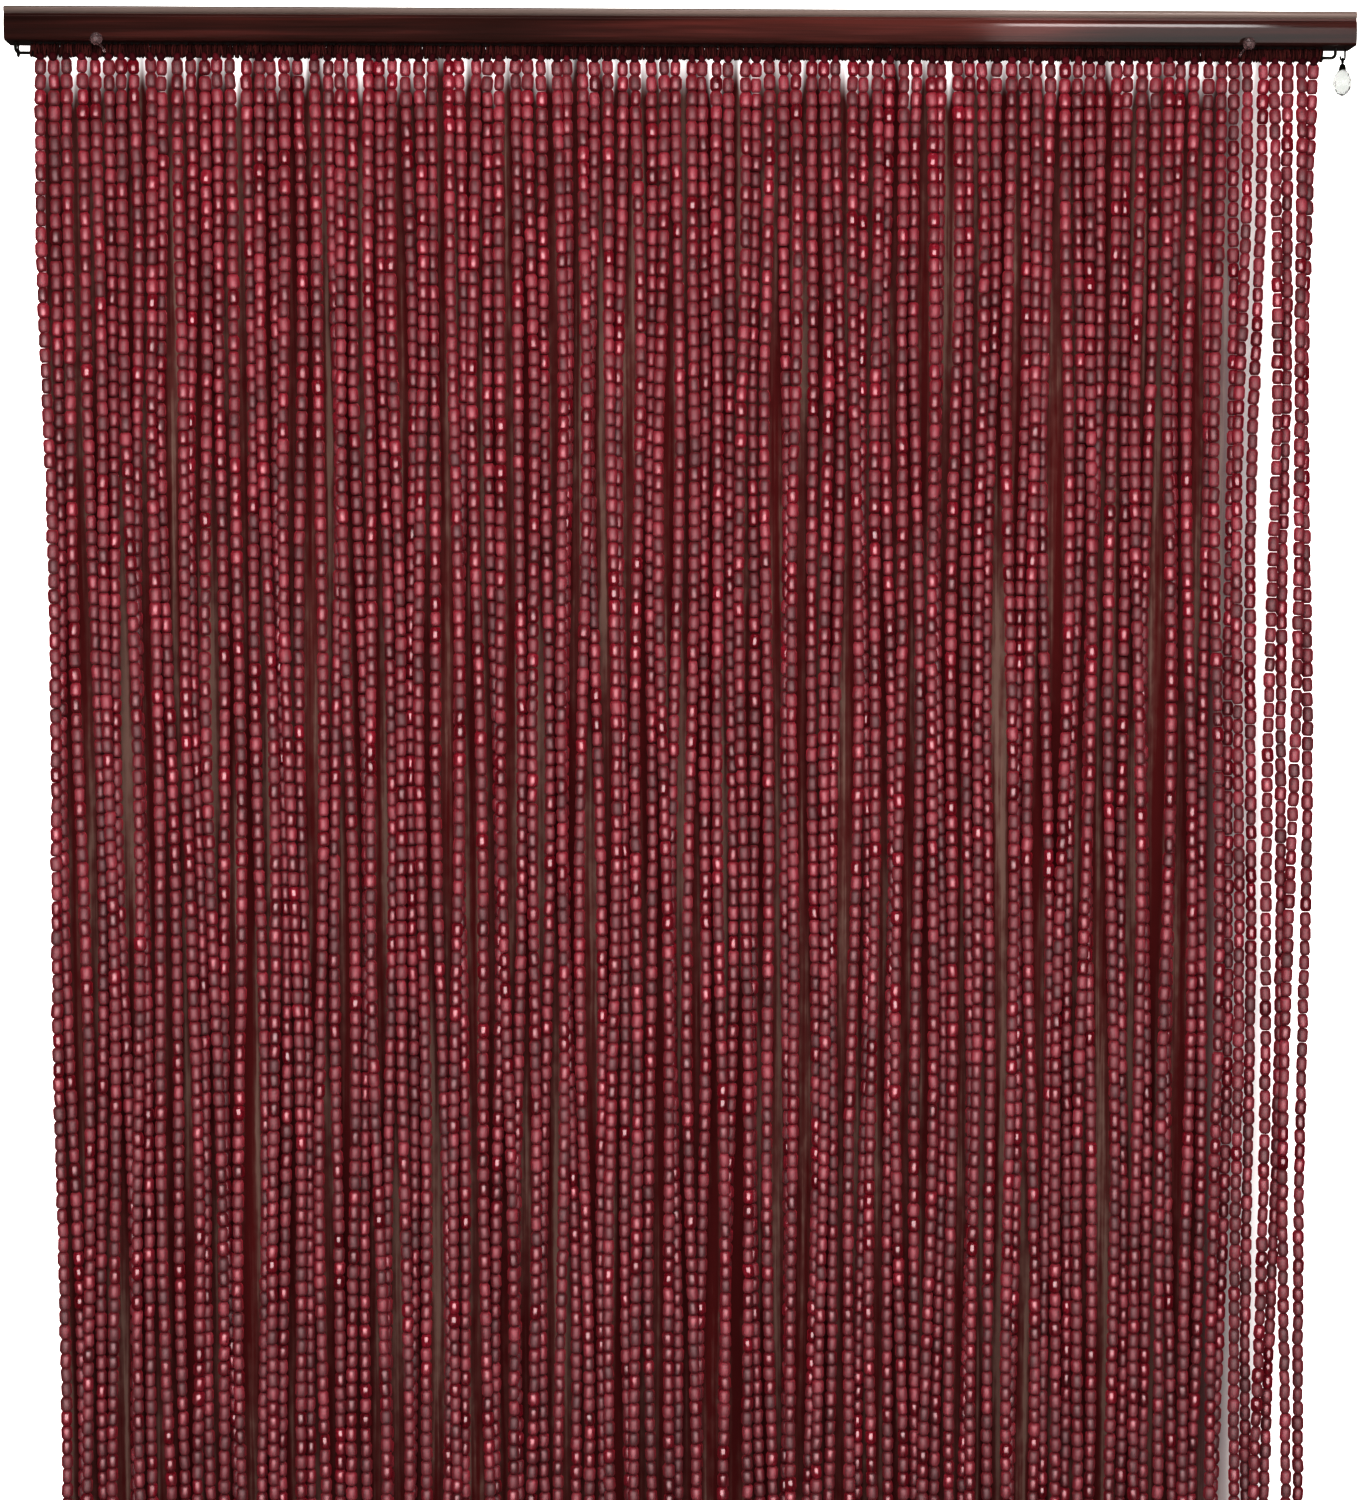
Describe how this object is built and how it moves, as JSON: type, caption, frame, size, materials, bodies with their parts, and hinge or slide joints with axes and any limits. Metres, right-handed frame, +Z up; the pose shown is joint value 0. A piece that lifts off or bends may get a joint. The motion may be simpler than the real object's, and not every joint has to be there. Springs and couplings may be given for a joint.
{
  "type": "bead curtain on a wooden rail",
  "caption": "Door bead curtain: strands of dark red barrel beads in small groups, hung from a steel wire under a moulded dark wooden rail, with a clear drop at one end.",
  "frame": {"origin": "centre of the rail's back face, the face that lies against the wall", "axes": "+X to the right along the rail as seen from the front, +Y into the wall, +Z up"},
  "size_m": [0.9, 0.0329, 2.0002],
  "materials": {
    "rail_wood": "dark mahogany gloss lacquer",
    "bead_wood": "wine red satin lacquer",
    "steel": "bright drawn wire",
    "dark_metal": "dark bronzed",
    "clear": "clear and polished"
  },
  "bodies": {
    "rail": {"head_rail": "rail_wood", "wire_rod": "steel", "screw_eye_1": "steel", "screw_eye_2": "steel", "screw_eye_3": "steel", "screw_eye_4": "steel", "screw_eye_5": "steel", "screw_eye_6": "steel", "screw_eye_7": "steel", "screw_eye_8": "steel", "strand_group_01": "bead_wood", "strand_group_02": "bead_wood", "strand_group_03": "bead_wood", "strand_group_04": "bead_wood", "strand_group_05": "bead_wood", "strand_group_06": "bead_wood", "strand_group_07": "bead_wood", "strand_group_08": "bead_wood", "strand_group_09": "bead_wood", "strand_group_10": "bead_wood", "strand_group_11": "bead_wood", "strand_group_12": "bead_wood", "strand_group_13": "bead_wood", "strand_group_14": "bead_wood", "strand_group_15": "bead_wood", "strand_group_16": "bead_wood", "strand_group_17": "bead_wood", "strand_group_18": "bead_wood", "strand_group_19": "bead_wood", "strand_group_20": "bead_wood", "strand_group_21": "bead_wood", "strand_group_22": "bead_wood", "strand_group_23": "bead_wood", "strand_group_24": "bead_wood", "clip_left": "clear", "clip_right": "clear", "drop_hook": "dark_metal"},
    "drop": {"drop_cap": "dark_metal", "clear_drop": "clear"}
  },
  "joints": [
    {"name": "drop_swing", "type": "hinge", "parent": "rail", "child": "drop", "pos_m": [0.4435, -0.012, -0.0193], "axis": [1, 0, 0], "range_deg": [-75, 20]}
  ]
}
